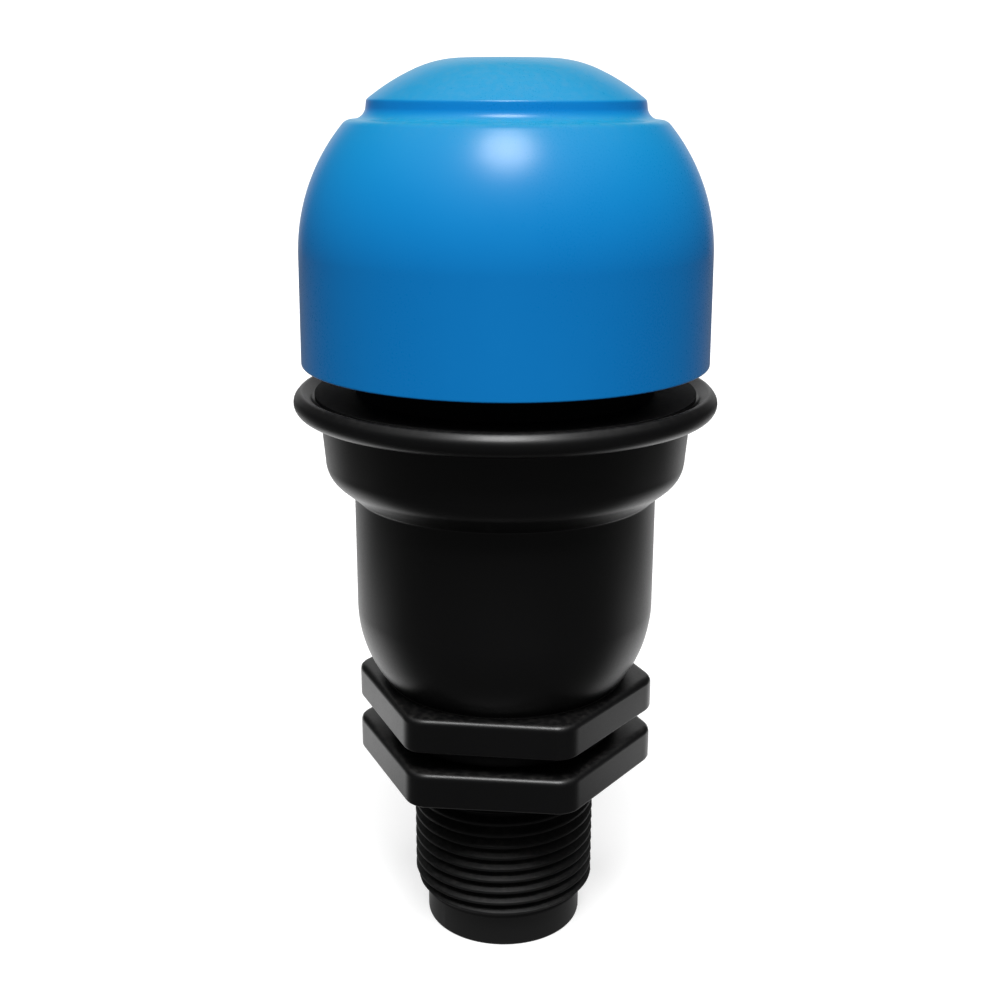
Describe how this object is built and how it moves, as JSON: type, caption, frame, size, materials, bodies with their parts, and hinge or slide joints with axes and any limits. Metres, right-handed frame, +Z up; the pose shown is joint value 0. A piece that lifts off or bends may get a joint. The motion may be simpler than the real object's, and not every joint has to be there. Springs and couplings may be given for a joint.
{
  "type": "air release valve",
  "caption": "Combination air release valve: black bowl with flared outlet flange, blue screw-on dome cap, wrench hexagons and male pipe thread; float, lever and shutter work inside.",
  "frame": {"origin": "centre of the inlet's end face, which is also the middle of the bounding box's bottom", "axes": "+Z up along the valve's axis from the inlet to the cap; the wrench hexagon's corners lie on X"},
  "size_m": [0.0578, 0.0578, 0.1238],
  "materials": {
    "black_plastic": "moulded black plastic, satin",
    "blue_plastic": "moulded blue plastic, soft gloss",
    "grey_plastic": "moulded dark grey plastic, satin",
    "white_plastic": "natural white plastic, satin",
    "seal_rubber": "black rubber, matt",
    "stainless_steel": "stainless steel, plain"
  },
  "bodies": {
    "body": {"inlet_nipple": "black_plastic", "nipple_o_ring": "seal_rubber", "valve_body": "black_plastic", "float_baffle": "grey_plastic", "body_gasket": "seal_rubber", "bonnet": "grey_plastic", "seat_seal": "seal_rubber", "insect_screen": "grey_plastic", "guide_bush": "white_plastic"},
    "tightening_ring": {"cap_ring": "seal_rubber"},
    "cap": {"dome_cap": "blue_plastic"},
    "shutter": {"shutter_disc": "grey_plastic", "guide_stem": "stainless_steel", "stem_clip": "stainless_steel", "air_nozzle": "stainless_steel", "lever_pin": "stainless_steel"},
    "float": {"float_shell": "white_plastic", "float_lid": "white_plastic", "link_pin": "stainless_steel"},
    "lever": {"float_lever": "white_plastic", "nozzle_button": "seal_rubber"}
  },
  "joints": [
    {"name": "cap_turn", "type": "hinge", "parent": "body", "child": "tightening_ring", "pos_m": [0, 0, 0.0985], "axis": [0, 0, 1], "range_deg": [0, 721]},
    {"name": "cap_lift", "type": "slide", "parent": "tightening_ring", "child": "cap", "axis": [0, 0, 1], "range_m": [0, 0.006]},
    {"name": "shutter_slide", "type": "slide", "parent": "body", "child": "shutter", "axis": [0, 0, 1], "range_m": [0, 0.005]},
    {"name": "float_slide", "type": "slide", "parent": "shutter", "child": "float", "axis": [0, 0, 1], "range_m": [0, 0.0024]},
    {"name": "lever_pivot", "type": "hinge", "parent": "shutter", "child": "lever", "pos_m": [-0.012, 0, 0.06512], "axis": [0, -1, 0], "range_deg": [0, 11.32]}
  ],
  "couplings": [
    {"joint": "cap_turn", "follows": "cap_lift", "rad_per_m": 2094.4},
    {"joint": "lever_pivot", "follows": "float_slide", "rad_per_m": 82.248}
  ]
}
